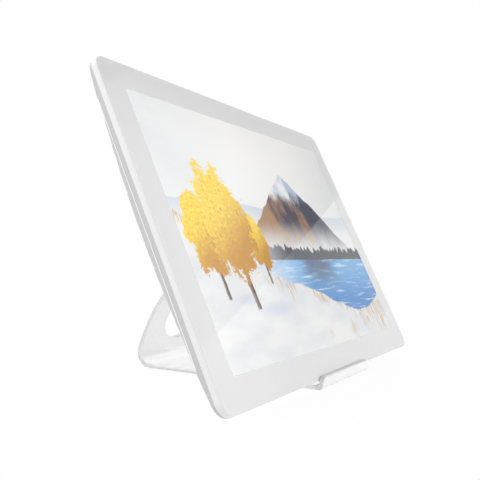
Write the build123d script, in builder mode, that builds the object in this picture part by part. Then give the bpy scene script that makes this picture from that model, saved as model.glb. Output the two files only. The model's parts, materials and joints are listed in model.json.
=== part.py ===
from build123d import *
import os
from math import cos, radians, sin, sqrt

# Digital photo frame: a slim white display that leans in a one-piece easel bent from clear sheet.
# Millimetres, +Z up. The screen faces -Y, and the origin is the middle of the footprint.

# Display outline, seen square on
panel_w = 244.0
panel_h = 174.4
border_w = 15.1
border_h = 15.3
corner_r = 7.0
glass_chamfer = 0.25
tilt = 25.5

# Screen module behind the border
screen_rim = 3.0
module_clear = 0.2
gasket_land = 1.2

# Layers of the display, front to back
glass_t = 1.2
front_frame_t = 2.1
band_t = 2.5
gasket_t = 0.2
cell_t = 1.1
film_t = 0.2
guide_t = 1.1
reflector_t = 0.1
tray_t = 0.4
tray_wall = 0.5

# Arched back
back_room = 0.15
end_t = 4.27
reveal = 0.2
cover_inset = 21.2
cover_wall = 1.2
side_wall = 1.7
seam_gap = 0.1
cover_round = 1.0
cover_chamfer = 0.65
cover_seat = 3.0
tray_seat = 6.0

# Light bar along the bottom of the light guide
led_bar_h = 2.4
led_end = 6.0
led_w = 3.2
led_pitch = 11.4
led_strip_t = 0.3
led_t = 0.6
led_gap = 0.2

# Cover screws
screw_inset_x = 6.4
screw_inset_y = 21.0
screw_shank = 1.7
screw_head = 3.4
screw_head_t = 0.7
screw_len = 3.4
screw_drive_w = 0.5
screw_drive_l = 2.0
screw_drive_t = 0.3
screw_clear = 0.1
boss_d = 6.0

# Main board and what is soldered to it
board_w = 80.0
board_h = 66.0
board_t = 0.8
board_gap = 0.3
board_screw_inset = 4.0
board_screw_len = 1.6
socket_gap = 0.3
card_w = 24.4
card_t = 2.3
card_len = 26.0
card_shell = 0.4
usb_gap = 2.0
usb_w = 7.6
usb_h = 2.6
usb_len = 5.6
usb_shell = 0.35
usb_tongue_t = 0.6
usb_tongue_w = 4.0
usb_tongue_l = 4.4
jack_gap = 3.2
jack_w = 5.2
jack_h = 3.2
jack_len = 9.0
jack_bore = 2.6
jack_bore_len = 7.0
jack_pin = 0.7
jack_pin_len = 6.0
jack_clear = 0.3
port_clear = 0.3
shield_s = 22.0
shield_t = 1.5
shield_wall = 0.2
shield_gap = 4.5
chip_w = 9.0
chip_l = 12.0
chip_t = 1.0
chip_pitch = 15.0
chip_gap = 7.1

# Screen driver strip, ribbon and its sockets
driver_w = 160.0
driver_h = 8.0
driver_t = 0.6
driver_inset = 7.0
ribbon_w = 16.0
ribbon_t = 0.15
ribbon_socket_w = 19.0
ribbon_socket_h = 3.6
ribbon_socket_t = 1.0
ribbon_lift = 0.4
ribbon_from_left = 14.0

# Flat cable of the key board
key_cable_w = 4.0
key_socket_w = 5.2

# Speakers and their slots
speaker_inset_x = 15.9
speaker_inset_y = 21.0
speaker_w = 24.0
speaker_h = 11.0
speaker_t = 1.5
speaker_rim = 1.4
speaker_cone_t = 0.5
speaker_round = 2.0
speaker_taper = 20.0
speaker_slot_w = 1.2
speaker_slot_l = 8.0
speaker_slot_pitch = 3.0
speaker_slots = 7
lead_w = 2.0
lead_t = 0.8
lead_turn = 6.0
lead_bend = 3.0

# Cooling slots
vent_inset = 23.0
vent_slot_w = 1.4
vent_slot_l = 10.0
vent_pitch = 4.0
vents = 15

# Keys on the back
button_names = ["power_button", "menu_button", "up_button", "down_button", "enter_button"]
button_inset = 5.9
button_pitch = 13.0
button_l = 8.6
button_w = 4.8
button_proud = 0.5
button_clear = 0.2
button_edge = 0.25
button_flange = 1.0
button_flange_t = 0.6
button_flange_gap = 0.35
button_stem = 2.0
button_travel = 0.35
key_board_w = 9.0
key_board_t = 0.8
key_board_end = 6.0
switch_s = 4.5
switch_t = 0.8
switch_cap = 1.8
switch_cap_t = 0.35
switch_gap = 0.1

# Easel
sheet = 2.4
stand_w = 67.5
stand_depth = 123.7
lip_h = 6.7
lip_lean = 2.0
lip_bend = 2.8
lip_round = 3.4
lip_gap = 0.2
base_gap = 0.5
rest_gap = 0.2
heel_r = 8.7
leg_r = 104.3
leg_start = 18.0
leg_top = 60.0
rest_len = 27.0
rest_bend = 9.0
rest_round = 6.0
hole_d = 36.6
hole_angle = 30.4
edge_bevel = 0.3

# Depths of the layers behind the front face
frame_z = glass_t
band_z = glass_t + front_frame_t
part_z = band_z + band_t
cell_z = glass_t + gasket_t
film_z = cell_z + cell_t
guide_z = film_z + film_t
reflector_z = guide_z + guide_t
tray_z = reflector_z + reflector_t
tray_back = tray_z + tray_t
board_back = tray_back + board_t
belly = board_back + card_t + 2 * card_shell + back_room + cover_wall

# Sizes that follow from the values above
screen_w = panel_w - 2 * border_w
screen_h = panel_h - 2 * border_h
module_w = screen_w + 2 * screen_rim
module_h = screen_h + 2 * screen_rim
pocket_w = module_w + 2 * module_clear
pocket_h = module_h + 2 * module_clear
inside_w = module_w - 2 * tray_wall
inside_h = module_h - 2 * tray_wall
body_w = panel_w - 2 * reveal
body_h = panel_h - 2 * reveal
wall_x = body_w / 2 - side_wall
cover_h = panel_h - 2 * cover_inset
bay_w = module_w - 2 * tray_seat
bay_h = cover_h - 2 * cover_seat
arch_rise = belly - end_t
back_r = (body_h ** 2 / 4 + arch_rise ** 2) / (2 * arch_rise)


def back_depth(y):
    """Depth of the arched back behind the front face, y up the panel from its middle."""
    return belly - back_r + sqrt(back_r ** 2 - y ** 2)


# Places of the inner pieces, from the middle of the panel
mouth_x = wall_x - socket_gap
board_x = wall_x - board_gap - board_w / 2
board_left = board_x - board_w / 2
usb_y = -card_w / 2 - card_shell - usb_gap - usb_w / 2
jack_y = card_w / 2 + card_shell + jack_gap + jack_w / 2
chip_x = mouth_x - card_len - card_shell - chip_gap - chip_w / 2
shield_x = chip_x - chip_w / 2 - shield_gap - shield_s / 2
driver_y = -bay_h / 2 + driver_inset
speaker_x = bay_w / 2 - speaker_inset_x
speaker_y = -bay_h / 2 + speaker_inset_y
vent_y = bay_h / 2 - vent_inset
button_x = -bay_w / 2 + button_inset
led_count = int((inside_w - 2 * led_end) / led_pitch)
screw_x = body_w / 2 - screw_inset_x
screw_y = cover_h / 2 - screw_inset_y
screw_seat_z = back_depth(screw_y) - screw_head_t - screw_clear
button_count = len(button_names)
key_board_h = (button_count - 1) * button_pitch + 2 * key_board_end
switch_top = tray_back + key_board_t + switch_t + switch_cap_t

# Where the display's bottom front edge stands: its lowest corner is just clear of the base sheet,
# and the edge is just clear of the lip
lean_c = cos(radians(tilt))
lean_s = sin(radians(tilt))
lip_c = cos(radians(lip_lean))
lip_s = sin(radians(lip_lean))
edge_z = sheet + base_gap + back_depth(body_h / 2) * lean_s - reveal * lean_c
edge_y = -stand_depth / 2 + (sheet + lip_gap + (lip_h - edge_z) * lip_s) / lip_c

# Front face of the display, its middle as origin: x to the right, y up the panel, z to the front
face = Plane(
    origin=(0, edge_y + lean_s * panel_h / 2, edge_z + lean_c * panel_h / 2),
    x_dir=(1, 0, 0),
    z_dir=(0, -lean_c, lean_s),
)
# Side view of the display from the same middle: x up the panel, y to the front, z to the right
side = Plane(origin=face.origin, x_dir=face.y_dir, z_dir=(1, 0, 0))
to_front = Axis(face.origin, face.z_dir)


def layer(depth):
    """Plane parallel to the front face, at a depth behind it."""
    return face.offset(-depth)


def arch(inset=0):
    """Disc whose rim is the arched back in side view, drawn inset by a wall."""
    with Locations((0, back_r - belly)):
        Circle(back_r - inset)


def port_openings():
    """Outlines of the card slot, data port and power hole, in side view."""
    with Locations((0, -board_back - card_shell - card_t / 2)):
        Rectangle(card_w + 2 * port_clear, card_t + 2 * port_clear)
    with Locations((usb_y, -board_back - usb_h / 2)):
        Rectangle(usb_w + 2 * port_clear, usb_h + 2 * port_clear)
    with Locations((jack_y, -tray_back - jack_h / 2)):
        Circle(jack_bore / 2 + port_clear)


# Front glass with ground edges
with BuildPart() as front_glass:
    with BuildSketch(face):
        RectangleRounded(panel_w, panel_h, corner_r)
    extrude(amount=-glass_t)
    chamfer(front_glass.faces().sort_by(to_front)[-1].edges(), glass_chamfer)

# White frame behind the glass, round the screen module
with BuildPart() as front_frame:
    with BuildSketch(layer(frame_z)):
        RectangleRounded(panel_w, panel_h, corner_r)
        Rectangle(pocket_w, pocket_h, mode=Mode.SUBTRACT)
    extrude(amount=-front_frame_t)

# Soft gasket between the glass and the screen
with BuildPart() as screen_gasket:
    with BuildSketch(layer(glass_t)):
        Rectangle(module_w, module_h)
        Rectangle(module_w - 2 * gasket_land, module_h - 2 * gasket_land, mode=Mode.SUBTRACT)
    extrude(amount=-gasket_t)

# Liquid crystal cell
with BuildPart() as lcd_cell:
    with BuildSketch(layer(cell_z)):
        Rectangle(module_w, module_h)
    extrude(amount=-cell_t)

# Tray that holds the light guide and its films, open to the front
with BuildPart() as lcd_tray:
    with BuildSketch(layer(film_z)):
        Rectangle(module_w, module_h)
    extrude(amount=-(tray_back - film_z))
    with BuildSketch(layer(film_z)):
        Rectangle(inside_w, inside_h)
    extrude(amount=-(tray_z - film_z), mode=Mode.SUBTRACT)

# Diffuser film over the light guide
with BuildPart() as diffuser_film:
    with BuildSketch(layer(film_z)):
        Rectangle(inside_w - 2 * module_clear, inside_h - 2 * module_clear)
    extrude(amount=-film_t)

# Light guide above the light bar
guide_h = inside_h - led_bar_h - 2 * module_clear
guide_y = (inside_h - guide_h) / 2 - module_clear
with BuildPart() as light_guide:
    with BuildSketch(layer(guide_z)):
        with Locations((0, guide_y)):
            Rectangle(inside_w - 2 * module_clear, guide_h)
    extrude(amount=-guide_t)

# Reflector film under the light guide
with BuildPart() as reflector_film:
    with BuildSketch(layer(reflector_z)):
        Rectangle(inside_w - 2 * module_clear, inside_h - 2 * module_clear)
    extrude(amount=-reflector_t)

# Light bar: a strip on the reflector with a row of diodes that face up into the guide
led_y = -inside_h / 2 + module_clear + led_bar_h / 2
with BuildPart() as led_bar:
    with BuildSketch(layer(reflector_z)):
        with Locations((0, led_y)):
            Rectangle(led_pitch * led_count, led_bar_h - led_gap)
    extrude(amount=led_strip_t)
    with BuildSketch(layer(reflector_z - led_strip_t)):
        with Locations((0, led_y)):
            with GridLocations(led_pitch, 1, led_count, 1):
                Rectangle(led_w, led_bar_h - led_gap)
    extrude(amount=led_t)

# Mid frame: the grey side band, closed at top and bottom by the arched back
with BuildPart() as mid_frame:
    with BuildSketch(layer(band_z)):
        RectangleRounded(body_w, body_h, corner_r - reveal)
    extrude(amount=-(belly - band_z))
    with BuildSketch(side):
        arch()
    extrude(amount=panel_w, both=True, mode=Mode.INTERSECT)
    # Land for the rear cover
    with BuildSketch(layer(part_z)):
        Rectangle(panel_w, cover_h + 2 * seam_gap)
    extrude(amount=-belly, mode=Mode.SUBTRACT)
    # Bay for the boards, and the pocket that the tray sits in
    with BuildSketch(layer(band_z)):
        Rectangle(bay_w, bay_h)
    extrude(amount=-belly, mode=Mode.SUBTRACT)
    with BuildSketch(layer(band_z)):
        Rectangle(pocket_w, pocket_h)
    extrude(amount=-(tray_back - band_z), mode=Mode.SUBTRACT)
    # Room for the main board and its sockets up to the right wall
    with BuildSketch(layer(tray_back)):
        with Locations((board_x + board_gap / 2, 0)):
            Rectangle(board_w + board_gap, board_h + 2 * board_gap)
    extrude(amount=-belly, mode=Mode.SUBTRACT)
    with BuildSketch(side.offset(wall_x - socket_gap)):
        port_openings()
    extrude(amount=side_wall + reveal + socket_gap, mode=Mode.SUBTRACT)
    # Pilot holes
    with BuildSketch(layer(part_z)):
        with GridLocations(2 * screw_x, 2 * screw_y, 2, 2):
            Circle(screw_shank / 2 + screw_clear)
    extrude(amount=screw_len - (screw_seat_z - part_z) - screw_head_t + 2 * screw_clear, mode=Mode.SUBTRACT)
    with BuildSketch(layer(tray_back)):
        with Locations((board_x + board_w / 2 - board_screw_inset, 0)):
            with GridLocations(1, board_h - 2 * board_screw_inset, 1, 2):
                Circle(screw_shank / 2 + screw_clear)
    extrude(amount=board_screw_len - board_t + screw_clear, mode=Mode.SUBTRACT)

# Hollow of the rear cover, with the screw bosses left standing
with BuildPart() as cover_core:
    with BuildSketch(layer(part_z)):
        Rectangle(2 * wall_x, bay_h)
        with GridLocations(2 * screw_x, 2 * screw_y, 2, 2):
            Circle(boss_d / 2, mode=Mode.SUBTRACT)
    extrude(amount=-(belly - part_z))
    with BuildSketch(side):
        arch(cover_wall)
    extrude(amount=panel_w, both=True, mode=Mode.INTERSECT)

# Rear cover: an arched shell with keys, speaker slots, cooling slots and screw wells
with BuildPart() as rear_cover:
    with BuildSketch(layer(part_z)):
        Rectangle(body_w, cover_h)
    extrude(amount=-(belly - part_z))
    with BuildSketch(side):
        arch()
    extrude(amount=panel_w, both=True, mode=Mode.INTERSECT)
    land = rear_cover.faces().sort_by(to_front)[-1]
    chamfer(land.edges().filter_by(Axis(face.origin, face.y_dir)), cover_chamfer)
    arched = rear_cover.faces().filter_by(GeomType.CYLINDER)
    fillet(arched.edges().filter_by(GeomType.CIRCLE), cover_round)
    add(cover_core.part, mode=Mode.SUBTRACT)
    # Wells and holes for the screws
    with BuildSketch(layer(screw_seat_z)):
        with GridLocations(2 * screw_x, 2 * screw_y, 2, 2):
            Circle(screw_head / 2 + screw_clear)
    extrude(amount=-belly, mode=Mode.SUBTRACT)
    with BuildSketch(layer(part_z)):
        with GridLocations(2 * screw_x, 2 * screw_y, 2, 2):
            Circle(screw_shank / 2 + screw_clear)
    extrude(amount=-belly, mode=Mode.SUBTRACT)
    # Slots and key holes through the arched wall
    with BuildSketch(layer(part_z)):
        with Locations((-speaker_x, speaker_y), (speaker_x, speaker_y)):
            with GridLocations(speaker_slot_pitch, 1, speaker_slots, 1):
                Rectangle(speaker_slot_w, speaker_slot_l)
        with Locations((0, vent_y)):
            with GridLocations(vent_pitch, 1, vents, 1):
                Rectangle(vent_slot_w, vent_slot_l)
        with Locations((button_x, 0)):
            with GridLocations(1, button_pitch, 1, button_count):
                SlotOverall(button_l + 2 * button_clear, button_w + 2 * button_clear)
    extrude(amount=-belly, mode=Mode.SUBTRACT)
    with BuildSketch(side.offset(wall_x - socket_gap)):
        port_openings()
    extrude(amount=side_wall + reveal + socket_gap, mode=Mode.SUBTRACT)

# Cover screws with a slot across the head
with BuildPart() as cover_screws:
    with BuildSketch(layer(screw_seat_z)):
        with GridLocations(2 * screw_x, 2 * screw_y, 2, 2):
            Circle(screw_head / 2)
    extrude(amount=-screw_head_t)
    with BuildSketch(layer(screw_seat_z)):
        with GridLocations(2 * screw_x, 2 * screw_y, 2, 2):
            Circle(screw_shank / 2)
    extrude(amount=screw_len - screw_head_t)
    with BuildSketch(layer(screw_seat_z + screw_head_t)):
        with GridLocations(2 * screw_x, 2 * screw_y, 2, 2):
            Rectangle(screw_drive_l, screw_drive_w)
            Rectangle(screw_drive_w, screw_drive_l)
    extrude(amount=screw_drive_t, mode=Mode.SUBTRACT)

# Main board, notched for the power socket
with BuildPart() as main_board:
    with BuildSketch(layer(tray_back)):
        with Locations((board_x, 0)):
            Rectangle(board_w, board_h)
        with Locations((mouth_x, jack_y)):
            Rectangle(2 * (jack_len + jack_clear), jack_w + 2 * jack_clear, mode=Mode.SUBTRACT)
        with Locations((board_x + board_w / 2 - board_screw_inset, 0)):
            with GridLocations(1, board_h - 2 * board_screw_inset, 1, 2):
                Circle(screw_shank / 2 + screw_clear, mode=Mode.SUBTRACT)
    extrude(amount=-board_t)

# Screws that hold the main board to the mid frame
with BuildPart() as board_screws:
    with BuildSketch(layer(board_back)):
        with Locations((board_x + board_w / 2 - board_screw_inset, 0)):
            with GridLocations(1, board_h - 2 * board_screw_inset, 1, 2):
                Circle(screw_head / 2)
    extrude(amount=-screw_head_t)
    with BuildSketch(layer(board_back)):
        with Locations((board_x + board_w / 2 - board_screw_inset, 0)):
            with GridLocations(1, board_h - 2 * board_screw_inset, 1, 2):
                Circle(screw_shank / 2)
    extrude(amount=board_screw_len)

# Card socket, open to the right
with BuildPart() as card_socket:
    with BuildSketch(layer(board_back)):
        with Locations((mouth_x - (card_len + card_shell) / 2, 0)):
            Rectangle(card_len + card_shell, card_w + 2 * card_shell)
    extrude(amount=-(card_t + 2 * card_shell))
    with BuildSketch(layer(board_back + card_shell)):
        with Locations((mouth_x - card_len / 2, 0)):
            Rectangle(card_len, card_w)
    extrude(amount=-card_t, mode=Mode.SUBTRACT)

# Data port: a shell with a tongue
with BuildPart() as usb_socket:
    with BuildSketch(layer(board_back)):
        with Locations((mouth_x - usb_len / 2, usb_y)):
            Rectangle(usb_len, usb_w)
    extrude(amount=-usb_h)
    with BuildSketch(layer(board_back + usb_shell)):
        with Locations((mouth_x - (usb_len - usb_shell) / 2, usb_y)):
            Rectangle(usb_len - usb_shell, usb_w - 2 * usb_shell)
    extrude(amount=-(usb_h - 2 * usb_shell), mode=Mode.SUBTRACT)
    with BuildSketch(layer(board_back + (usb_h - usb_tongue_t) / 2)):
        with Locations((mouth_x - usb_len + usb_shell + usb_tongue_l / 2, usb_y)):
            Rectangle(usb_tongue_l, usb_tongue_w)
    extrude(amount=-usb_tongue_t)

# Power socket: a block with a round bore and its centre pin
with BuildPart() as power_socket:
    with BuildSketch(layer(tray_back)):
        with Locations((mouth_x - jack_len / 2, jack_y)):
            Rectangle(jack_len, jack_w)
    extrude(amount=-jack_h)
    with BuildSketch(side.offset(mouth_x)):
        with Locations((jack_y, -tray_back - jack_h / 2)):
            Circle(jack_bore / 2)
            Circle(jack_pin / 2, mode=Mode.SUBTRACT)
    extrude(amount=-jack_bore_len, mode=Mode.SUBTRACT)
    with BuildSketch(side.offset(mouth_x)):
        with Locations((jack_y, -tray_back - jack_h / 2)):
            Circle(jack_bore / 2)
    extrude(amount=-(jack_bore_len - jack_pin_len), mode=Mode.SUBTRACT)

# Shield can over the processor
with BuildPart() as processor_shield:
    with BuildSketch(layer(board_back)):
        with Locations((shield_x, 0)):
            Rectangle(shield_s, shield_s)
    extrude(amount=-shield_t)
    with BuildSketch(layer(board_back)):
        with Locations((shield_x, 0)):
            Rectangle(shield_s - 2 * shield_wall, shield_s - 2 * shield_wall)
    extrude(amount=-(shield_t - shield_wall), mode=Mode.SUBTRACT)

# Memory chips beside the shield
with BuildPart() as memory_chips:
    with BuildSketch(layer(board_back)):
        with Locations((chip_x, 0)):
            with GridLocations(1, chip_pitch, 1, 2):
                Rectangle(chip_w, chip_l)
    extrude(amount=-chip_t)

# Driver strip of the screen, on the back of the tray
with BuildPart() as driver_board:
    with BuildSketch(layer(tray_back)):
        with Locations((0, driver_y)):
            Rectangle(driver_w, driver_h)
    extrude(amount=-driver_t)

# Ribbon from the driver strip to the main board, flat cable from the key board, and their sockets
ribbon_x = board_left + ribbon_from_left
ribbon_low = driver_y + ribbon_socket_h / 2
ribbon_high = -board_h / 2
key_cable_y = button_pitch / 2
key_board_right = button_x + key_board_w / 2
with BuildPart() as ribbon_sockets:
    with BuildSketch(layer(tray_back + driver_t)):
        with Locations((ribbon_x, driver_y)):
            Rectangle(ribbon_socket_w, ribbon_socket_h)
    extrude(amount=-ribbon_socket_t)
    with BuildSketch(layer(board_back)):
        with Locations((ribbon_x, ribbon_high + ribbon_socket_h / 2)):
            Rectangle(ribbon_socket_w, ribbon_socket_h)
        with Locations((board_left + ribbon_socket_h / 2, key_cable_y)):
            Rectangle(ribbon_socket_h, key_socket_w)
    extrude(amount=-ribbon_socket_t)
    with BuildSketch(layer(tray_back + key_board_t)):
        with Locations((key_board_right - ribbon_socket_h / 2, key_cable_y)):
            Rectangle(ribbon_socket_h, key_socket_w)
    extrude(amount=-ribbon_socket_t)
with BuildPart() as lcd_ribbon:
    with BuildSketch(layer(board_back + ribbon_lift)):
        with Locations((ribbon_x, (ribbon_low + ribbon_high) / 2)):
            Rectangle(ribbon_w, ribbon_high - ribbon_low)
    extrude(amount=-ribbon_t)
with BuildPart() as key_cable:
    with BuildSketch(layer(board_back + ribbon_lift)):
        with Locations(((key_board_right + board_left) / 2, key_cable_y)):
            Rectangle(board_left - key_board_right, key_cable_w)
    extrude(amount=-ribbon_t)

# Pair of flat speakers behind their slots
speakers = {}
for hand, x in (("left", -speaker_x), ("right", speaker_x)):
    with BuildPart() as speaker:
        with BuildSketch(layer(tray_back)):
            with Locations((x, speaker_y)):
                RectangleRounded(speaker_w, speaker_h, speaker_round)
        extrude(amount=-speaker_t)
        with BuildSketch(layer(tray_back + speaker_t)):
            with Locations((x, speaker_y)):
                RectangleRounded(speaker_w - 2 * speaker_rim, speaker_h - 2 * speaker_rim, speaker_round)
        extrude(amount=-speaker_cone_t, taper=speaker_taper)
    speakers["speaker_" + hand] = speaker

# Flat two-core leads from the speakers to the edge of the main board
lead_x = board_left - lead_turn
lead_y = -board_h / 2 + lead_turn
with BuildPart() as speaker_leads:
    with BuildSketch(layer(tray_back)):
        with BuildLine() as left_lead:
            FilletPolyline(
                (-speaker_x + speaker_w / 2, speaker_y),
                (lead_x, speaker_y),
                (lead_x, lead_y),
                (board_left, lead_y),
                radius=lead_bend,
            )
        trace(left_lead.line, lead_w)
        with BuildLine() as right_lead:
            Line((speaker_x, speaker_y + speaker_h / 2), (speaker_x, -board_h / 2))
        trace(right_lead.line, lead_w)
    extrude(amount=-lead_t)

# Key board with a push switch under each key
with BuildPart() as key_board:
    with BuildSketch(layer(tray_back)):
        with Locations((button_x, 0)):
            Rectangle(key_board_w, key_board_h)
    extrude(amount=-key_board_t)
with BuildPart() as key_switches:
    with BuildSketch(layer(tray_back + key_board_t)):
        with Locations((button_x, 0)):
            with GridLocations(1, button_pitch, 1, button_count):
                Rectangle(switch_s, switch_s)
    extrude(amount=-switch_t)
    with BuildSketch(layer(tray_back + key_board_t + switch_t)):
        with Locations((button_x, 0)):
            with GridLocations(1, button_pitch, 1, button_count):
                Rectangle(switch_cap, switch_cap)
    extrude(amount=-switch_cap_t)

# Keys: a cap through the cover, a flange that keeps it in, a stem towards its switch
buttons = {}
for row, name in enumerate(button_names):
    y = ((button_count - 1) / 2 - row) * button_pitch
    flange_back = back_depth(y) - cover_wall - button_flange_gap
    with BuildPart() as button:
        with BuildSketch(layer(flange_back)):
            with Locations((button_x, y)):
                SlotOverall(button_l, button_w)
        extrude(amount=-(back_depth(y) + button_proud - flange_back))
        chamfer(button.faces().sort_by(to_front)[0].edges(), button_edge)
        with BuildSketch(layer(flange_back)):
            with Locations((button_x, y)):
                Rectangle(button_l + 2 * button_flange, button_w + 2 * button_flange)
        extrude(amount=button_flange_t)
        with BuildSketch(layer(flange_back - button_flange_t)):
            with Locations((button_x, y)):
                Rectangle(button_stem, button_stem)
        extrude(amount=flange_back - button_flange_t - switch_top - button_travel - switch_gap)
    buttons[name] = button

# Easel: lip, base, heel, arched leg and the rest that the display's back leans on.
# The outline below is the sheet's outer face, from the lip's tip back, up and forward.
lip_tip = (-stand_depth / 2, lip_h)
lip_foot = (lip_tip[0] + lip_h * lip_s / lip_c, 0)
heel_y = stand_depth / 2 - heel_r
leg_y = heel_y - (leg_r - heel_r) * cos(radians(leg_start))
leg_z = heel_r - (leg_r - heel_r) * sin(radians(leg_start))
leg_c = cos(radians(leg_top))
leg_s = sin(radians(leg_top))
leg_end = (leg_y + leg_r * leg_c, leg_z + leg_r * leg_s)
rest_depth = belly + rest_gap + sheet
rest_y = edge_y + rest_depth * lean_c
rest_z = edge_z - rest_depth * lean_s
run = ((rest_y - leg_end[0]) * lean_c - (rest_z - leg_end[1]) * lean_s) / (-leg_s * lean_c - leg_c * lean_s)
rest_foot = (leg_end[0] - run * leg_s, leg_end[1] + run * leg_c)
rest_top = (rest_foot[0] + rest_len * lean_s, rest_foot[1] + rest_len * lean_c)
hole_c = cos(radians(hole_angle))
hole_s = sin(radians(hole_angle))
hole_plane = Plane(
    origin=(0, leg_y + leg_r * hole_c, leg_z + leg_r * hole_s),
    x_dir=(1, 0, 0),
    z_dir=(0, hole_c, hole_s),
)
with BuildPart() as stand:
    with BuildSketch(Plane.YZ):
        with BuildLine() as outer:
            Line(lip_tip, lip_foot)
            Line(lip_foot, (heel_y, 0))
            CenterArc((heel_y, heel_r), heel_r, -90, 90 + leg_start)
            CenterArc((leg_y, leg_z), leg_r, leg_start, leg_top - leg_start)
            Line(leg_end, rest_foot)
            Line(rest_foot, rest_top)
            fillet(outer.vertices().sort_by_distance(lip_foot)[0], lip_bend)
            fillet(outer.vertices().sort_by_distance(rest_foot)[0], rest_bend)
            offset(amount=sheet, side=Side.LEFT)
        make_face()
    extrude(amount=stand_w / 2, both=True)
    with BuildSketch(hole_plane):
        Circle(hole_d / 2)
    extrude(amount=2 * sheet, both=True, mode=Mode.SUBTRACT)
    lip_end = stand.faces().filter_by(Axis((0, 0, 0), (0, -lip_s, lip_c)))
    rest_end = stand.faces().filter_by(Axis((0, 0, 0), (0, lean_s, lean_c)))
    fillet(lip_end.edges().filter_by(Axis.X, reverse=True), lip_round)
    fillet(rest_end.edges().filter_by(Axis.X, reverse=True), rest_round)
    sides = stand.faces().filter_by(Axis.X)
    chamfer(sides.edges(), edge_bevel)

pieces = {
    "stand": stand,
    "front_glass": front_glass,
    "front_frame": front_frame,
    "screen_gasket": screen_gasket,
    "lcd_cell": lcd_cell,
    "lcd_tray": lcd_tray,
    "diffuser_film": diffuser_film,
    "light_guide": light_guide,
    "reflector_film": reflector_film,
    "led_bar": led_bar,
    "mid_frame": mid_frame,
    "rear_cover": rear_cover,
    "cover_screws": cover_screws,
    "main_board": main_board,
    "board_screws": board_screws,
    "card_socket": card_socket,
    "usb_socket": usb_socket,
    "power_socket": power_socket,
    "processor_shield": processor_shield,
    "memory_chips": memory_chips,
    "driver_board": driver_board,
    "ribbon_sockets": ribbon_sockets,
    "lcd_ribbon": lcd_ribbon,
    "key_cable": key_cable,
    "key_board": key_board,
    "key_switches": key_switches,
    **speakers,
    "speaker_leads": speaker_leads,
    **buttons,
}

os.makedirs("parts", exist_ok=True)
for name, piece in pieces.items():
    piece.part.label = name
    export_step(piece.part, f"parts/{name}.step")
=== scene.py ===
import json
from math import radians

import bpy
from mathutils import Matrix, Vector


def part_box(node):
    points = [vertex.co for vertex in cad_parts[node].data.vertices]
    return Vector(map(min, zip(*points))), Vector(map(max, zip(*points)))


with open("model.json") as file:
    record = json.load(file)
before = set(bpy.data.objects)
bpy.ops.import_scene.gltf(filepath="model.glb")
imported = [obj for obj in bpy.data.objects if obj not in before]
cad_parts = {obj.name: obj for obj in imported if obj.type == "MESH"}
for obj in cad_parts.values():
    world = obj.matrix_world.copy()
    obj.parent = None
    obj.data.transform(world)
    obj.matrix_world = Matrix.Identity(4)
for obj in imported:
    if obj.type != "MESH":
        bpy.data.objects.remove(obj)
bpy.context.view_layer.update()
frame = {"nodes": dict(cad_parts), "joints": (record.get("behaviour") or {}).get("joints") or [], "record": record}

# Digital photo frame: finishes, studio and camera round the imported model. Metres, +Z up.
# Two numbers under one name are a fade: it starts at the first and is full at the second.

nodes = frame["nodes"]
scene = bpy.context.scene

# Directions and middle of the leaning display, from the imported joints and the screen
joints = {joint["name"]: joint for joint in frame["joints"]}
panel_up = Vector(joints["lift_display"]["axis"])
panel_front = Vector(joints["press_power"]["axis"])
panel_right = panel_up.cross(panel_front)
screen_low, screen_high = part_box("lcd_cell")
screen_mid = (screen_low + screen_high) / 2
face_at = max(corner.co.dot(panel_front) for corner in nodes["front_glass"].data.vertices)

# Cover glass: picture area, blur of the print's edge, how much further out the print starts on the back,
# middle of the glass's thickness, and depths over which the polished face turns into the ground rim
picture_w = 0.2138
picture_h = 0.1438
print_blur = 0.0002
print_step_back = 0.0022
glass_middle = 0.0006
ground_rim = (0.00005, 0.00028)
glass_ior = 1.5

# Easel's sheet: half its width, the rounded top of its rest and the height above which the rest lies, and
# the rounded top of its lip, the plane that the lip lies in front of and the fade of the lip's satin white, which
# is painted reflection
easel_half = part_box("stand")[1].x
rest_top = max(corner.co.dot(panel_up) for corner in nodes["stand"].data.vertices)
rest_round = 0.006
rest_from = 0.085
lip_top = 0.0067
lip_round = 0.0034
lip_behind = -0.057
lip_fade = 0.001
acrylic_ior = 1.49

# Easel's sawn edges: width of the bevel, and how far out the flat and the bevel start at the sides
cut_edge = 0.0003
sawn_flat = (easel_half - 0.1 * cut_edge, easel_half - 0.05 * cut_edge)
sawn_bevel = (easel_half - 1.3 * cut_edge, easel_half - cut_edge)

# Heights where the leg starts and where the base's edge is painted pale as painted light, and places along the
# base where its edge is painted pale in front as painted light and darker at the heel as painted shade
leg_start = (0.0026, 0.007)
painted_bright_rise = (0.0009, 0.0017)
painted_bright_front = (-0.03, -0.05)
heel_shade_start = (0.046, 0.054)

# Grey levels of the easel: clear sheet in the base, and in the leg where it is painted darker as painted shade;
# sawn edges, painted paler and darker as painted light and shade; and the painted glow that deep bounces end in
clear_base_level = 1.0
painted_leg_shade_level = 0.81
edge_painted_shade_level = 0.72
edge_painted_bright_level = 0.97
edge_leg_painted_shade_level = 0.76
edge_mark_level = 0.80
painted_glow_level = 0.85
deep_bounces = (3.5, 4.5)

# Bright bevel where the rear cover meets the side band
bevel_depth = 0.00612
bevel_half = 0.00034
bevel_across = 0.1210
bevel_fade = 0.0001

# Fine grain of moulded plastic
grain_scale = 2600.0
grain_depth = 0.00005

# Unit of the printed marks on the keys, and half the width of their lines in that unit
mark_unit = 0.00133
mark_line = 0.16

# Golden trees in the picture: middle of the crown, right and up, and its radius, in picture heights
tree_places = ((-0.27, -0.05, 0.085), (-0.59, -0.02, 0.12), (-0.43, 0.03, 0.165))

# Camera, with its lens and sensor in millimetres
camera_at = Vector((-0.33158, -0.191186, 0.070346))
camera_heading = radians(-58.8276)
camera_pitch = radians(1.1528)
camera_roll = radians(0.5291)
camera_lens = 46.95
camera_sensor = 36.0
camera_near = 0.01

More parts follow.
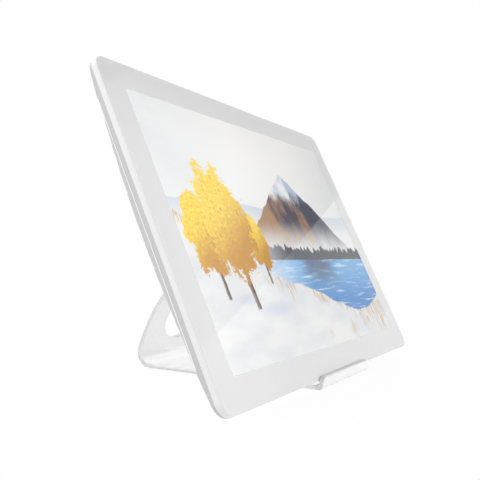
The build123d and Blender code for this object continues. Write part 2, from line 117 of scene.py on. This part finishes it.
# Floor: half its side, its drop below the object, its level as a matt face, the share of plain white that it
# shows near the object, and the reach over which that becomes all of it; then the level of the room's light
floor_half = 6.0
floor_drop = 0.0003
floor_level = 0.9
floor_plain = 0.95
floor_white = (0.08, 0.18)
room_level = 0.61

# Grey card that glossy faces see, by the direction they look in: its sides, the slanted ceiling over it,
# the slanted foot below it, and the parts of it beside and near the camera
card_left = (0.55, 0.60)
card_back = (0.15, 0.05)
card_beside = (0.90, 0.83)
card_near = (-0.14, -0.31)
card_near_level = 1.18
card_far_level = 0.25
ceiling_slant = (0.59, 0, 1)
ceiling_edge = (1.0914, 1.0922)
ceiling_level = 0.17
foot_slant = (-0.1, 0, 1)
foot_edge = (0.2595, 0.2565)
foot_shade = (0.18, 0.26)
foot_near_level = 1.42
foot_edge_level = 1.75
foot_far_level = 0.65

# Lamps
key_light_at = Vector((0.20, -0.70, 0.04))
key_light_size = 0.3
key_light_watts = 3.1
rim_light_at = Vector((-0.70, 0.60, 0.95))
rim_light_size = 0.6
rim_light_watts = 6.9


class Sock:
    """A shader socket that takes part in Python arithmetic."""

    def __init__(self, tree, socket=None):
        self.tree = tree
        self.socket = socket

    def node(self, kind, settings=None, sockets=None, out=0):
        """Add a node of any type: its settings first, then the values or links of its sockets."""
        made = self.tree.nodes.new("ShaderNode" + kind)
        for name, value in (settings or {}).items():
            setattr(made, name, value)
        for name, value in (sockets or {}).items():
            if isinstance(value, Sock):
                self.tree.links.new(value.socket, made.inputs[name])
            else:
                made.inputs[name].default_value = value
        if not made.outputs:
            return None
        return Sock(self.tree, made.outputs[out])

    def math(self, operation, first, second=0.0):
        return self.node("Math", {"operation": operation}, {0: first, 1: second})

    def __add__(self, other):
        return self.math("ADD", self, other)

    __radd__ = __add__

    def __sub__(self, other):
        return self.math("SUBTRACT", self, other)

    def __rsub__(self, other):
        return self.math("SUBTRACT", other, self)

    def __mul__(self, other):
        return self.math("MULTIPLY", self, other)

    __rmul__ = __mul__

    def __truediv__(self, other):
        return self.math("DIVIDE", self, other)

    def __pow__(self, other):
        return self.math("POWER", self, other)

    def __abs__(self):
        return self.math("ABSOLUTE", self)


# Values and colours
def grey(level):
    return (level, level, level, 1.0)


def lower(first, second):
    return first.math("MINIMUM", first, second)


def higher(first, second):
    return first.math("MAXIMUM", first, second)


def diagonal(first, second):
    """Length of the diagonal over two distances."""
    return (first ** 2 + second ** 2) ** 0.5


def step(value, start, end):
    """0 at start, 1 at end, smooth between them; start may be the larger."""
    sockets = {"Value": value, "From Min": start, "From Max": end}
    return value.node("MapRange", {"interpolation_type": "SMOOTHSTEP"}, sockets)


def blend(factor, first, second):
    """Colour that goes from first to second."""
    return factor.node("Mix", {"data_type": "RGBA"}, {0: factor, 6: first, 7: second}, 2)


def greys(factor, first, second):
    """Grey that goes from the first level to the second."""
    return blend(factor, grey(first), grey(second))


# Places and patterns
def along(place, direction):
    """How far a place lies in a direction."""
    return place.node("VectorMath", {"operation": "DOT_PRODUCT"}, {0: place, 1: tuple(direction)}, "Value")


def off_middle(place, direction, middle=screen_mid):
    """How far a place lies in a direction from the middle of the screen, or from another middle."""
    return along(place, direction) - middle.dot(direction)


def panel_depth(place):
    """Depth in metres behind the front face of the display."""
    return face_at - along(place, panel_front)


def stretched(place, scale):
    return place.node("VectorMath", {"operation": "MULTIPLY"}, {0: place, 1: scale})


def point(across, up, level=0.0):
    return across.node("CombineXYZ", {}, {"X": across, "Y": up, "Z": level})


def noise(place, scale, detail=2.0, roughness=0.5):
    sockets = {"Vector": place, "Scale": scale, "Detail": detail, "Roughness": roughness}
    return place.node("TexNoise", {}, sockets)


def bump(height, strength, distance):
    return height.node("Bump", {}, {"Height": height, "Strength": strength, "Distance": distance})


# Shaders
def new_finish(name):
    """An empty material, and the Object coordinates that its pattern is drawn on."""
    material = bpy.data.materials.new(name)
    material.use_nodes = True
    material.node_tree.nodes.clear()
    return material, Sock(material.node_tree).node("TexCoord", out="Object")


def principled(place, sockets):
    return place.node("BsdfPrincipled", {}, sockets)


def mixed(factor, first, second):
    """Shader that goes from first to second."""
    return factor.node("MixShader", {}, {0: factor, 1: first, 2: second})


def close(shader):
    """Make a shader the surface of its material."""
    shader.node("OutputMaterial", {}, {"Surface": shader})


# Finish of the cover glass
def printed_glass():
    """Cover glass: clear over the picture, printed white round it; its ground rim is paler."""
    material, place = new_finish("printed_glass")
    across = off_middle(place, panel_right)
    up = off_middle(place, panel_up)
    depth = panel_depth(place)
    beyond = higher(abs(across) - picture_w / 2, abs(up) - picture_h / 2)
    beyond = beyond - print_step_back * step(depth, 0.5 * glass_middle, 1.5 * glass_middle)
    printed = step(beyond, -print_blur, print_blur)
    cloud = noise(place, 14.0, detail=3.0)
    print_colour = greys(cloud, 0.77, 0.79)
    ground = step(depth, *ground_rim)
    white = principled(place, {
        "Base Color": blend(ground, print_colour, grey(0.90)),
        "Roughness": 0.004 + 0.008 * noise(place, 60.0, detail=4.0) + 0.25 * ground,
        "IOR": glass_ior,
    })
    clear = principled(place, {
        "Base Color": grey(1.0),
        "Roughness": 0.0,
        "IOR": glass_ior,
        "Specular Tint": grey(0.2),
        "Transmission Weight": 1.0,
    })
    close(mixed(printed, clear, white))
    return material


# Picture on the screen
def lit_picture():
    """Lit screen with a generic winter landscape, matt behind the glass."""
    material, place = new_finish("lit_picture")
    u = off_middle(place, panel_right) / picture_h
    v = off_middle(place, panel_up) / picture_h
    close(principled(place, {
        "Base Color": grey(0.01),
        "Roughness": 0.5,
        "Specular IOR Level": 0.1,
        "Emission Color": landscape(u, v),
        "Emission Strength": 1.0,
    }))
    return material


def landscape(u, v):
    """Colour of the picture; u and v run right and up in picture heights from the middle."""
    flat = point(u, v)
    colour = sky(u, v, flat)
    colour = far_ridge(colour, u, v)
    colour = near_peak(colour, u, v, flat)
    colour = fir_line(colour, u, v, flat)
    colour = lake(colour, u, v, flat)
    colour = snowy_bank(colour, u, v, flat)
    leaves = noise(flat, 17.0, detail=5.0, roughness=0.65)
    speckle = noise(flat, 75.0, detail=2.0)
    for tree in tree_places:
        colour = golden_tree(colour, u, v, tree, leaves, speckle)
    return colour


def skyline(u, row, scale, detail):
    """Uneven height that changes to the right only; each row of the noise gives another line."""
    return noise(point(u, 0.0, row), scale, detail)


def under(v, top, blur):
    """1 below a skyline, with a slightly blurred edge."""
    return step(v, top + blur, top - blur)


def sky(u, v, flat):
    """Pale sky, brightest over the middle, with soft cloud."""
    sun_u = 0.10
    sun_v = 0.50
    dull = (0.80, 0.81, 0.82, 1)
    bright = (0.98, 0.97, 0.96, 1)
    colour = blend(step(diagonal(u - sun_u, v - sun_v), 0.85, 0.20), dull, bright)
    cloud = noise(stretched(flat, (1.3, 3.6, 1)), 1.8, detail=5.0)
    return blend(0.45 * step(cloud, 0.38, 0.66), colour, grey(0.93))


def far_ridge(colour, u, v):
    """Ridge far off that fades down into the haze."""
    slope = (0.66, 0.72, 0.79, 1)
    haze = (0.92, 0.92, 0.92, 1)
    top = 0.16 * skyline(u, row=3.1, scale=1.6, detail=5.0) + 0.02
    ridge = blend(step(top - v, 0.0, 0.13), slope, haze)
    return blend(under(v, top, 0.003), colour, ridge)


def near_peak(colour, u, v, flat):
    """Peak near by: brown on its lit side, navy in its shade, snow on top and mist at its foot."""
    peak_u = 0.17
    peak_v = 0.31
    steepness = 0.78
    lit_rock = (0.42, 0.225, 0.11, 1)
    shaded_rock = (0.030, 0.032, 0.075, 1)
    shaded_snow = (0.50, 0.58, 0.72, 1)
    ragged = 0.14 * (skyline(u, row=7.7, scale=4.5, detail=6.0) - 0.5)
    top = peak_v - steepness * abs(u - peak_u) + ragged
    folds = noise(stretched(flat, (1.0, 0.55, 1)), 6.5, detail=6.0, roughness=0.6)
    lit = step(folds + 0.45 * (0.19 - u), 0.44, 0.62)
    snowy = step(v + 0.30 * (folds - 0.5), 0.13, 0.20)
    misty = 0.85 * step(v + 0.10 * (folds - 0.5), 0.06, -0.09)
    rock = blend(lit, shaded_rock, lit_rock)
    rock = blend(snowy, rock, blend(lit, shaded_snow, grey(0.93)))
    rock = blend(misty, rock, grey(0.90))
    return blend(under(v, top, 0.003), colour, rock)


def fir_line(colour, u, v, flat):
    """Dark line of firs, lost in the mist on the left."""
    dark = (0.020, 0.024, 0.055, 1)
    light = (0.07, 0.08, 0.10, 1)
    mist = (0.84, 0.85, 0.87, 1)
    spikes = 0.09 * skyline(u, row=1.3, scale=34.0, detail=1.0)
    top = spikes + 0.05 * skyline(u, row=5.0, scale=3.0, detail=1.0) - 0.145
    firs = blend(noise(flat, 45.0, detail=3.0), dark, light)
    firs = blend(step(u, 0.05, -0.50), firs, mist)
    return blend(under(v, top, 0.004), colour, firs)


def lake(colour, u, v, flat):
    """Blue lake, paler towards its far shore and on the left, with the peak's dark image in it."""
    near_water = (0.02, 0.22, 0.60, 1)
    far_water = (0.16, 0.45, 0.80, 1)
    glint = (0.60, 0.76, 0.92, 1)
    image = (0.05, 0.05, 0.09, 1)
    mist = (0.86, 0.90, 0.94, 1)
    ripple = noise(stretched(flat, (2.0, 22.0, 1)), 3.0, detail=4.0)
    in_image = step(abs(u - 0.20) + 0.25 * (ripple - 0.5), 0.22, 0.05) * step(v, -0.30, -0.14)
    water = blend(step(v, -0.36, -0.13), near_water, far_water)
    water = blend(step(ripple, 0.52, 0.70), water, glint)
    water = blend(0.8 * in_image, water, image)
    water = blend(step(u, 0.10, -0.45), water, mist)
    return blend(step(v, -0.125, -0.131), colour, water)


def snowy_bank(colour, u, v, flat):
    """Snowy bank on the near shore, with soft drifts and dry grass along the water."""
    hollow = (0.76, 0.78, 0.81, 1)
    crest = (0.87, 0.87, 0.86, 1)
    dry_grass = (0.62, 0.40, 0.17, 1)
    drift = noise(stretched(flat, (1.0, 2.6, 1)), 3.2, detail=4.0)
    ragged = 0.05 * (noise(flat, 6.0, detail=4.0) - 0.5)
    shore = v + 0.27 - 0.34 * (u - 0.25) ** 2 + ragged + 0.14 * step(u, -0.05, 0.6)
    blades = noise(stretched(flat, (14.0, 2.0, 1)), 6.0, detail=4.0)
    tufts = step(noise(flat, 4.2, detail=3.0) + 0.9 * (shore + 0.07), 0.46, 0.56)
    tufts = tufts * step(blades, 0.46, 0.60)
    bank = blend(step(drift, 0.36, 0.64), hollow, crest)
    bank = blend(0.8 * tufts, bank, dry_grass)
    return blend(step(shore, 0.004, -0.004), colour, bank)


def golden_tree(colour, u, v, tree, leaves, speckle):
    """One golden tree, with its trunk and its blue shade on the snow."""
    tree_u, tree_v, crown = tree
    snow_shade = (0.55, 0.62, 0.76, 1)
    lit_bark = (0.30, 0.20, 0.13, 1)
    dark_bark = (0.06, 0.035, 0.03, 1)
    dark_gold = (0.60, 0.27, 0.01, 1)
    lit_gold = (0.98, 0.66, 0.015, 1)
    bright_leaf = (1.0, 0.80, 0.10, 1)
    dark_leaf = (0.50, 0.22, 0.01, 1)
    right = u - tree_u
    above = v - tree_v
    root = tree_v - 2.1 * crown
    shade = diagonal(right - 0.12, 4.5 * (v - root))
    colour = blend(0.5 * step(shade, 1.1 * crown, 0.2 * crown), colour, snow_shade)
    slim = 0.05 * crown + 0.05 * lower(abs(above), 0.5 * crown)
    trunk = step(abs(right + 0.02 * (leaves - 0.5)) - slim, 0.002, -0.002)
    trunk = trunk * step(v, tree_v, tree_v - 0.02) * step(v, root, root + 0.01)
    colour = blend(trunk, colour, blend(step(right, -0.006, 0.006), lit_bark, dark_bark))
    reach = diagonal(right, 0.72 * above)
    shape = step(1 - reach / crown + 1.2 * (leaves - 0.5) + 0.5 * (speckle - 0.5), 0.02, 0.10)
    side = step(above - 0.6 * right + 0.6 * crown * (leaves - 0.5), -crown, 0.7 * crown)
    gold = blend(side, dark_gold, lit_gold)
    gold = blend(step(speckle, 0.50, 0.70) * side, gold, bright_leaf)
    gold = blend(0.6 * step(speckle, 0.42, 0.30), gold, dark_leaf)
    return blend(shape, colour, gold)


# Finish of the easel
def rounded_top(side, rise, top, radius):
    """1 in the cut edge along the sides and over the rounded top of the easel's sheet."""
    out = higher(abs(side) - (easel_half - radius), 0.0)
    over = higher(rise - (top - radius), 0.0)
    return step(diagonal(out, over), radius - 1.3 * cut_edge, radius - cut_edge)


def sawn_edges(place, side, back, rise, on_leg):
    """1 on the sawn edges of the sheet; the leg's bevel is polished with its faces."""
    edge = higher(step(abs(side), *sawn_flat), (1 - on_leg) * step(abs(side), *sawn_bevel))
    lip_edge = rounded_top(side, rise, lip_top, lip_round) * step(back, lip_behind + cut_edge, lip_behind)
    rest_edge = rounded_top(side, along(place, panel_up), rest_top, rest_round)
    rest_edge = rest_edge * step(rise, rest_from, rest_from + cut_edge)
    return higher(edge, higher(lip_edge, rest_edge))


def frosted_edge(place, back, rise, on_leg):
    """Finely sawn edge, with painted light and shade in its grey level by where it is on the sheet: pale high up
    and in front, darker low down, on the leg and at the heel.
    """
    painted_light = higher(step(rise, *painted_bright_rise), step(back, *painted_bright_front))
    colour = greys(painted_light, edge_painted_shade_level, edge_painted_bright_level)
    colour = blend(higher(on_leg, step(back, *heel_shade_start)), colour, grey(edge_leg_painted_shade_level))
    saw_marks = noise(stretched(place, (1.0, 4.0, 4.0)), 500.0, detail=3.0)
    return principled(place, {
        "Base Color": blend(0.3 * saw_marks, colour, grey(edge_mark_level)),
        "Roughness": 0.30 + 0.2 * saw_marks,
        "IOR": acrylic_ior,
    })


def clear_acrylic():
    """Clear polished sheet with faint swirl marks, painted shade on the leg and a painted glow for deep bounces;
    finely sawn edges with painted light and shade; and a lip whose satin white outside is painted reflection.
    """
    material, place = new_finish("clear_acrylic")
    side = along(place, (1, 0, 0))
    back = along(place, (0, 1, 0))
    rise = along(place, (0, 0, 1))
    on_leg = step(rise, *leg_start)
    swirl = noise(stretched(place, (1.0, 6.0, 6.0)), 90.0, detail=3.0)
    # The clear sheet is painted darker on the leg: painted shade standing in for the panel's shadow and its grey
    # reflection
    clear = principled(place, {
        "Base Color": greys(on_leg, clear_base_level, painted_leg_shade_level),
        "Roughness": 0.004 * swirl,
        "IOR": acrylic_ior,
        "Transmission Weight": 1.0,
    })
    # A ray that has bounced often inside the sheet ends in a painted glow, at the pale level of the room
    deep = step(place.node("LightPath", out="Ray Depth"), *deep_bounces)
    painted_light = place.node("Emission", {}, {"Color": grey(painted_glow_level), "Strength": 1.0})
    clear = mixed(deep, clear, painted_light)
    # On its outside the lip is painted satin white: painted reflection standing in for the white surroundings that
    # the clear lip mirrors; from inside it stays clear
    painted_reflection_satin = principled(place, {
        "Base Color": greys(swirl, 0.86, 0.90),
        "Roughness": 0.12 + 0.1 * swirl,
        "IOR": acrylic_ior,
    })
    outside = 1 - place.node("NewGeometry", out="Backfacing")
    on_lip = outside * step(back, lip_behind, lip_behind - lip_fade)
    sheet = mixed(on_lip, clear, painted_reflection_satin)
    sawn = sawn_edges(place, side, back, rise, on_leg)
    close(mixed(sawn, sheet, frosted_edge(place, back, rise, on_leg)))
    return material


# Finishes of the other pieces
def moulding(name, level, roughness, grain, bevel_level=None):
    """Moulded plastic with a fine spark-eroded grain, and a bright bevel at the side if asked for."""
    material, place = new_finish(name)
    cloud = noise(place, 22.0, detail=3.0)
    fine = noise(place, grain_scale)
    sockets = {
        "Base Color": greys(cloud, 0.985 * level, 1.015 * level),
        "Roughness": roughness + 0.10 * (fine - 0.5),
        "Normal": bump(fine, grain, grain_depth),
    }
    if bevel_level:
        across = off_middle(place, panel_right)
        off = abs(panel_depth(place) - bevel_depth)
        at_side = step(abs(across), bevel_across - bevel_fade, bevel_across)
        line = step(off, 1.1 * bevel_half, 0.9 * bevel_half) * at_side
        sockets["Base Color"] = blend(line, sockets["Base Color"], grey(bevel_level))
        sockets["Metallic"] = line
        sockets["Roughness"] = sockets["Roughness"] * (1 - 0.8 * line)
    close(principled(place, sockets))
    return material


def bare_sheet(name, level, roughness):
    """Tinned or zinc-plated metal, faintly blotched and drawn in one direction."""
    material, place = new_finish(name)
    drawn = noise(stretched(place, (1.0, 30.0, 30.0)), 120.0, detail=4.0)
    close(principled(place, {
        "Base Color": greys(drawn, 0.9 * level, 1.1 * level),
        "Metallic": 1.0,
        "Roughness": roughness + 0.15 * (drawn - 0.5),
    }))
    return material


def foam():
    """Soft black foam with open cells."""
    material, place = new_finish("black_foam")
    cells = noise(place, 1800.0, detail=3.0)
    close(principled(place, {
        "Base Color": greys(cells, 0.012, 0.045),
        "Roughness": 0.95,
        "Normal": bump(cells, 0.6, 0.0002),
    }))
    return material


def film():
    """Thin white film with a slight sheen."""
    material, place = new_finish("white_film")
    cloud = noise(place, 40.0, detail=3.0)
    close(principled(place, {
        "Base Color": greys(cloud, 0.82, 0.88),
        "Roughness": 0.35 + 0.1 * cloud,
    }))
    return material


def diode_strip():
    """White strip, freckled with the yellow phosphor of its diodes."""
    material, place = new_finish("diode_strip")
    phosphor = (0.90, 0.72, 0.20, 1)
    speck = noise(place, 900.0)
    close(principled(place, {
        "Base Color": blend(step(speck, 0.45, 0.60), grey(0.85), phosphor),
        "Roughness": 0.4,
    }))
    return material


def green_board():
    """Circuit board: green resist over copper tracks."""
    material, place = new_finish("green_board")
    resist = (0.012, 0.085, 0.035, 1)
    over_copper = (0.035, 0.19, 0.07, 1)
    across = off_middle(place, panel_right)
    up = off_middle(place, panel_up)
    columns = noise(point(across, 0.0, 2.0), 900.0, detail=0.0)
    rows = noise(point(0.0 * across, up, 4.0), 900.0, detail=0.0)
    copper = step(columns * rows, 0.26, 0.30)
    close(principled(place, {
        "Base Color": blend(copper, resist, over_copper),
        "Roughness": 0.35,
        "Normal": bump(copper, 0.2, 0.00004),
    }))
    return material


def stroke(distance):
    """1 on a line of a printed mark, by the distance from the line's middle."""
    return step(distance, mark_line, 0.7 * mark_line)


def key_mark(name, a, b):
    """Printed mark on a key; a and b run right and up from its middle in units of mark_unit."""
    if name == "power_button":
        ring_radius = 1.05
        stem_middle = 0.8
        closed = lower(step(b, 0.0, -0.1) + step(abs(a), 0.35, 0.45), 1.0)
        stem = stroke(abs(a)) * step(abs(b - stem_middle), 0.62, 0.55)
        return higher(stroke(abs(diagonal(a, b) - ring_radius)) * closed, stem)
    if name == "menu_button":
        bar_pitch = 0.75
        bars = lower(abs(b), abs(abs(b) - bar_pitch))
        return stroke(bars) * step(abs(a), 1.1, 1.04)
    if name == "enter_button":
        return step(diagonal(a, b), 0.72, 0.66)
    if name == "down_button":
        b = 0 - b
    return step(abs(a) * 0.85 + b, 0.78, 0.70) * step(b, -0.68, -0.60)


def key_cap(name):
    """Satin key with a printed mark."""
    material, place = new_finish(name)
    low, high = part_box(name)
    mid = (low + high) / 2
    a = off_middle(place, panel_right, mid) / mark_unit
    b = off_middle(place, panel_up, mid) / mark_unit
    fine = noise(place, grain_scale)
    close(principled(place, {
        "Base Color": blend(key_mark(name, a, b), greys(fine, 0.69, 0.73), grey(0.16)),
        "Roughness": 0.36 + 0.08 * (fine - 0.5),
        "Normal": bump(fine, 0.12, grain_depth),
    }))
    return material


def dress():
    """Give every node its finish."""
    shell = {"level": 0.625, "roughness": 0.42, "grain": 0.10}
    tinned = bare_sheet("tinned_sheet", level=0.62, roughness=0.32)
    zinc = bare_sheet("zinc_steel", level=0.42, roughness=0.28)
    resin = moulding("black_resin", level=0.02, roughness=0.45, grain=0.3)
    board = green_board()
    white_film = film()
    finishes = {
        "stand": clear_acrylic(),
        "front_glass": printed_glass(),
        "front_frame": moulding("white_moulding", level=0.90, roughness=0.30, grain=0.04),
        "screen_gasket": foam(),
        "lcd_cell": lit_picture(),
        "lcd_tray": tinned,
        "diffuser_film": white_film,
        "light_guide": moulding("light_guide_acrylic", level=0.85, roughness=0.10, grain=0.02),
        "reflector_film": white_film,
        "led_bar": diode_strip(),
        "mid_frame": moulding("grey_moulding", **shell),
        "rear_cover": moulding("grey_cover", **shell, bevel_level=0.95),
        "cover_screws": zinc,
        "main_board": board,
        "board_screws": zinc,
        "card_socket": tinned,
        "usb_socket": tinned,
        "power_socket": resin,
        "processor_shield": tinned,
        "memory_chips": resin,
        "driver_board": board,
        "ribbon_sockets": resin,
        "lcd_ribbon": white_film,
        "key_cable": white_film,
        "key_board": board,
        "key_switches": resin,
        "speaker_left": resin,
        "speaker_right": resin,
        "speaker_leads": moulding("lead_sheath", level=0.05, roughness=0.55, grain=0.1),
    }
    for body in frame["record"]["behaviour"]["bodies"]:
        if body.endswith("_button"):
            finishes[body] = key_cap(body)
    for name, piece in nodes.items():
        piece.data.materials.clear()
        piece.data.materials.append(finishes[name])


# Studio
def pale_floor():
    """Plain white floor that keeps a soft shadow near the object."""
    bpy.ops.object.select_all(action="DESELECT")
    bpy.ops.mesh.primitive_plane_add(size=2 * floor_half, location=(0, 0, -floor_drop))
    floor = bpy.context.object
    floor.name = "floor"
    bpy.ops.object.transform_apply(location=True)
    material, place = new_finish("pale_floor")
    ray = place.node("LightPath", out="Is Camera Ray") + place.node("LightPath", out="Is Glossy Ray")
    ray = lower(ray + place.node("LightPath", out="Is Transmission Ray"), 1.0)
    reach = place.node("VectorMath", {"operation": "LENGTH"}, {0: place}, "Value")
    plain = floor_plain + (1 - floor_plain) * step(reach, *floor_white)
    matt = place.node("BsdfDiffuse", {}, {"Color": grey(floor_level)})
    white = place.node("Emission", {}, {"Color": grey(1.0), "Strength": 1.0})
    close(mixed(ray * plain, matt, white))
    floor.data.materials.append(material)


def studio_world():
    """White surroundings; glossy faces see a grey card on the right, its foot and a dark ceiling over it."""
    world = bpy.data.worlds.new("studio")
    world.use_nodes = True
    world.node_tree.nodes.clear()
    scene.world = world
    way = Sock(world.node_tree).node("TexCoord", out="Generated")
    glossy = way.node("LightPath", out="Is Glossy Ray")
    diffuse = way.node("LightPath", out="Is Diffuse Ray")
    right = along(way, (1, 0, 0))
    back = along(way, (0, 1, 0))
    slope = along(way, foot_slant)
    beside = step(right, *card_beside)
    near = step(back, *card_near) * beside
    level = greys(near, card_far_level, card_near_level)
    foot = greys(step(slope, *foot_shade), foot_near_level, foot_edge_level)
    foot = blend(beside, grey(foot_far_level), foot)
    level = blend(step(slope, *foot_edge), level, foot)
    ceiling = step(along(way, ceiling_slant), *ceiling_edge)
    card = step(right, *card_left) * step(back, *card_back)
    mirrored = blend(card, grey(1.0), blend(ceiling, level, grey(ceiling_level)))
    colour = blend(glossy, greys(diffuse, 1.0, room_level), mirrored)
    light = way.node("Background", {}, {"Color": colour, "Strength": 1.0})
    light.node("OutputWorld", {}, {"Surface": light})


def soft_light(name, place, size, watts):
    """Soft square light that points at the middle of the screen and isn't mirrored in glossy faces."""
    lamp = bpy.data.lights.new(name, "AREA")
    lamp.shape = "SQUARE"
    lamp.size = size
    lamp.energy = watts
    holder = bpy.data.objects.new(name, lamp)
    holder.location = place
    holder.rotation_euler = (screen_mid - place).to_track_quat("-Z", "Y").to_euler()
    holder.visible_glossy = False
    scene.collection.objects.link(holder)


def camera():
    """Almost level camera in front and to the left, turned as in the photograph."""
    lens = bpy.data.cameras.new("camera")
    lens.lens = camera_lens
    lens.sensor_width = camera_sensor
    lens.clip_start = camera_near
    holder = bpy.data.objects.new("camera", lens)
    turn = Matrix.Rotation(camera_heading, 4, "Z")
    turn = turn @ Matrix.Rotation(radians(90) + camera_pitch, 4, "X")
    turn = turn @ Matrix.Rotation(camera_roll, 4, "Z")
    holder.matrix_world = Matrix.Translation(camera_at) @ turn
    scene.collection.objects.link(holder)
    scene.camera = holder


dress()
pale_floor()
studio_world()
soft_light("key_light", key_light_at, key_light_size, key_light_watts)
soft_light("rim_light", rim_light_at, rim_light_size, rim_light_watts)
camera()
scene.view_settings.view_transform = "Standard"
